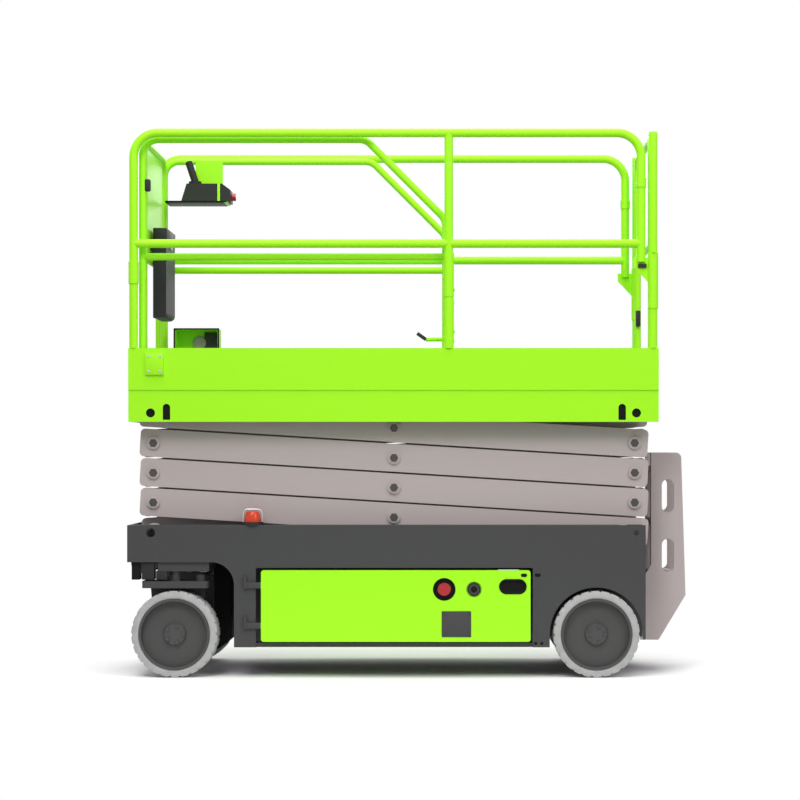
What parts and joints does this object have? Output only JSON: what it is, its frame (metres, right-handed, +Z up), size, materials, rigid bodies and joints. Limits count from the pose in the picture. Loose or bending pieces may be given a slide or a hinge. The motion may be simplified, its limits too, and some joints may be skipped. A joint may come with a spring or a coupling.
{
  "type": "electric scissor lift",
  "caption": "Self-propelled electric scissor lift, stowed, with steered wheels, swing-out trays, railed platform, entry gate and roll-out deck extension.",
  "frame": {"origin": "on the floor, under the middle of the machine's box", "axes": "-X front with the steered wheels, +X rear with the ladder, +Z up, -Y the side with the controls"},
  "size_m": [2.492, 0.8108, 2.4199],
  "materials": {
    "lime_paint": "powder coat, semi-gloss",
    "charcoal_paint": "powder coat, satin",
    "warm_grey_paint": "powder coat, satin",
    "deck_plate": "raised tread plate, satin",
    "grey_rubber": "solid non-marking rubber",
    "wheel_paint": "painted steel",
    "black_housing": "moulded, fine texture",
    "red_button": "moulded, glossy",
    "amber_lens": "tinted lens",
    "cylinder_paint": "enamel, semi-gloss",
    "chromed_rod": "hard chrome, polished"
  },
  "bodies": {
    "chassis": {"chassis_frame": "charcoal_paint", "chassis_side_near": "charcoal_paint", "chassis_side_far": "charcoal_paint", "front_skirt_near": "charcoal_paint", "front_skirt_far": "charcoal_paint", "rear_axles": "charcoal_paint", "ladder": "warm_grey_paint", "beacon_base": "black_housing", "beacon_dome": "amber_lens"},
    "knuckle_near": {"knuckle_near": "charcoal_paint", "drive_motor_near": "black_housing"},
    "knuckle_far": {"knuckle_far": "charcoal_paint", "drive_motor_far": "black_housing"},
    "tie_rod": {"tie_rod": "charcoal_paint"},
    "wheel_front_near": {"tyre_front_near": "grey_rubber", "rim_front_near": "wheel_paint"},
    "wheel_front_far": {"tyre_front_far": "grey_rubber", "rim_front_far": "wheel_paint"},
    "wheel_rear_near": {"tyre_rear_near": "grey_rubber", "rim_rear_near": "wheel_paint"},
    "wheel_rear_far": {"tyre_rear_far": "grey_rubber", "rim_rear_far": "wheel_paint"},
    "tray_near": {"tray_near": "lime_paint", "power_pack_near": "black_housing", "ground_stop": "red_button", "ground_key_switch": "black_housing"},
    "tray_far": {"tray_far": "lime_paint", "power_pack_far": "black_housing"},
    "outer_1": {"outer_arms_1": "warm_grey_paint"},
    "inner_1": {"inner_arms_1": "warm_grey_paint"},
    "outer_2": {"outer_arms_2": "warm_grey_paint"},
    "inner_2": {"inner_arms_2": "warm_grey_paint"},
    "outer_3": {"outer_arms_3": "warm_grey_paint"},
    "inner_3": {"inner_arms_3": "warm_grey_paint"},
    "outer_4": {"outer_arms_4": "warm_grey_paint"},
    "inner_4": {"inner_arms_4": "warm_grey_paint"},
    "platform": {"platform_deck": "deck_plate", "deck_tread": "deck_plate", "platform_side_near": "lime_paint", "platform_side_far": "lime_paint", "main_rail_near": "lime_paint", "main_rail_far": "lime_paint"},
    "cylinder_barrel": {"cylinder_barrel": "cylinder_paint"},
    "cylinder_rod": {"cylinder_rod": "chromed_rod"},
    "pothole_guard_near": {"pothole_guard_near": "charcoal_paint"},
    "pothole_guard_far": {"pothole_guard_far": "charcoal_paint"},
    "gate": {"gate": "lime_paint"},
    "extension": {"extension_deck": "deck_plate", "extension_rail_near": "lime_paint", "extension_rail_far": "lime_paint", "front_guard": "lime_paint", "document_box": "black_housing", "control_bracket": "lime_paint", "control_box": "black_housing", "joystick": "black_housing", "control_stop": "red_button", "outlet_box": "lime_paint", "deck_lock_pedal": "black_housing"}
  },
  "joints": [
    {"name": "steer", "type": "hinge", "parent": "chassis", "child": "knuckle_near", "pos_m": [-1.037, -0.3415, 0.45], "axis": [0, 0, 1], "range_deg": [-65, 65]},
    {"name": "steer_far", "type": "hinge", "parent": "chassis", "child": "knuckle_far", "pos_m": [-1.037, 0.3415, 0.45], "axis": [0, 0, 1], "range_deg": [-65.1, 65.1]},
    {"name": "tie_rod_swing", "type": "hinge", "parent": "knuckle_near", "child": "tie_rod", "pos_m": [-0.927, -0.3415, 0.43], "axis": [0, 0, 1], "range_deg": [-65.1, 65.1]},
    {"name": "roll_front_near", "type": "hinge", "parent": "knuckle_near", "child": "wheel_front_near", "pos_m": [-1.037, -0.3415, 0.1905], "axis": [0, 1, 0], "continuous": true},
    {"name": "roll_front_far", "type": "hinge", "parent": "knuckle_far", "child": "wheel_front_far", "pos_m": [-1.037, 0.3415, 0.1905], "axis": [0, 1, 0], "continuous": true},
    {"name": "roll_rear_near", "type": "hinge", "parent": "chassis", "child": "wheel_rear_near", "pos_m": [0.823, -0.3415, 0.1905], "axis": [0, 1, 0], "continuous": true},
    {"name": "roll_rear_far", "type": "hinge", "parent": "chassis", "child": "wheel_rear_far", "pos_m": [0.823, 0.3415, 0.1905], "axis": [0, 1, 0], "continuous": true},
    {"name": "tray_near_swing", "type": "hinge", "parent": "chassis", "child": "tray_near", "pos_m": [-0.725, -0.396, 0.3], "axis": [0, 0, -1], "range_deg": [0, 90]},
    {"name": "tray_far_swing", "type": "hinge", "parent": "chassis", "child": "tray_far", "pos_m": [-0.725, 0.396, 0.3], "axis": [0, 0, 1], "range_deg": [0, 90]},
    {"name": "lift", "type": "hinge", "parent": "chassis", "child": "outer_1", "pos_m": [0.999, 0, 0.638], "axis": [0, 1, 0], "range_deg": [0, 53]},
    {"name": "centre_pivot_1", "type": "hinge", "parent": "outer_1", "child": "inner_1", "pos_m": [-0.07175, 0, 0.704], "axis": [0, 1, 0], "range_deg": [-106.1, 0.1]},
    {"name": "rear_pivot_2", "type": "hinge", "parent": "inner_1", "child": "outer_2", "pos_m": [0.999, 0, 0.77], "axis": [0, 1, 0], "range_deg": [-0.1, 106.1]},
    {"name": "centre_pivot_2", "type": "hinge", "parent": "outer_2", "child": "inner_2", "pos_m": [-0.07175, 0, 0.836], "axis": [0, 1, 0], "range_deg": [-106.1, 0.1]},
    {"name": "rear_pivot_3", "type": "hinge", "parent": "inner_2", "child": "outer_3", "pos_m": [0.999, 0, 0.902], "axis": [0, 1, 0], "range_deg": [-0.1, 106.1]},
    {"name": "centre_pivot_3", "type": "hinge", "parent": "outer_3", "child": "inner_3", "pos_m": [-0.07175, 0, 0.968], "axis": [0, 1, 0], "range_deg": [-106.1, 0.1]},
    {"name": "rear_pivot_4", "type": "hinge", "parent": "inner_3", "child": "outer_4", "pos_m": [0.999, 0, 1.034], "axis": [0, 1, 0], "range_deg": [-0.1, 106.1]},
    {"name": "centre_pivot_4", "type": "hinge", "parent": "outer_4", "child": "inner_4", "pos_m": [-0.07175, 0, 1.1], "axis": [0, 1, 0], "range_deg": [-106.1, 0.1]},
    {"name": "platform_pivot", "type": "hinge", "parent": "inner_4", "child": "platform", "pos_m": [0.999, 0, 1.166], "axis": [0, 1, 0], "range_deg": [-0.1, 53.1]},
    {"name": "barrel_pivot", "type": "hinge", "parent": "inner_1", "child": "cylinder_barrel", "pos_m": [0.62106, 0, 0.84188], "axis": [0, 1, 0], "range_deg": [-0.1, 130.12]},
    {"name": "rod_slide", "type": "slide", "parent": "cylinder_barrel", "child": "cylinder_rod", "axis": [-0.9996, 0, -0.0265], "range_m": [-0.001, 0.9849]},
    {"name": "guard_near_drop", "type": "slide", "parent": "chassis", "child": "pothole_guard_near", "axis": [0, 0, -1], "range_m": [-0.001, 0.071]},
    {"name": "guard_far_drop", "type": "slide", "parent": "chassis", "child": "pothole_guard_far", "axis": [0, 0, -1], "range_m": [-0.001, 0.071]},
    {"name": "gate_swing", "type": "hinge", "parent": "platform", "child": "gate", "pos_m": [1.073, 0.347, 1.9], "axis": [0, 0, -1], "range_deg": [0, 90]},
    {"name": "extension_slide", "type": "slide", "parent": "platform", "child": "extension", "axis": [-1, 0, 0], "range_m": [0, 0.9]}
  ],
  "couplings": [
    {"joint": "steer_far", "follows": "steer", "ratio": 1},
    {"joint": "tie_rod_swing", "follows": "steer", "ratio": -1},
    {"joint": "centre_pivot_1", "follows": "lift", "ratio": -2},
    {"joint": "rear_pivot_2", "follows": "lift", "ratio": 2},
    {"joint": "centre_pivot_2", "follows": "lift", "ratio": -2},
    {"joint": "rear_pivot_3", "follows": "lift", "ratio": 2},
    {"joint": "centre_pivot_3", "follows": "lift", "ratio": -2},
    {"joint": "rear_pivot_4", "follows": "lift", "ratio": 2},
    {"joint": "centre_pivot_4", "follows": "lift", "ratio": -2},
    {"joint": "platform_pivot", "follows": "lift", "ratio": 1},
    {"joint": "barrel_pivot", "follows": "lift", "ratio": 2.4533},
    {"joint": "rod_slide", "follows": "lift", "m_per_rad": 1.0636},
    {"joint": "guard_near_drop", "follows": "lift", "m_per_rad": 0.075674},
    {"joint": "guard_far_drop", "follows": "lift", "m_per_rad": 0.075674}
  ]
}
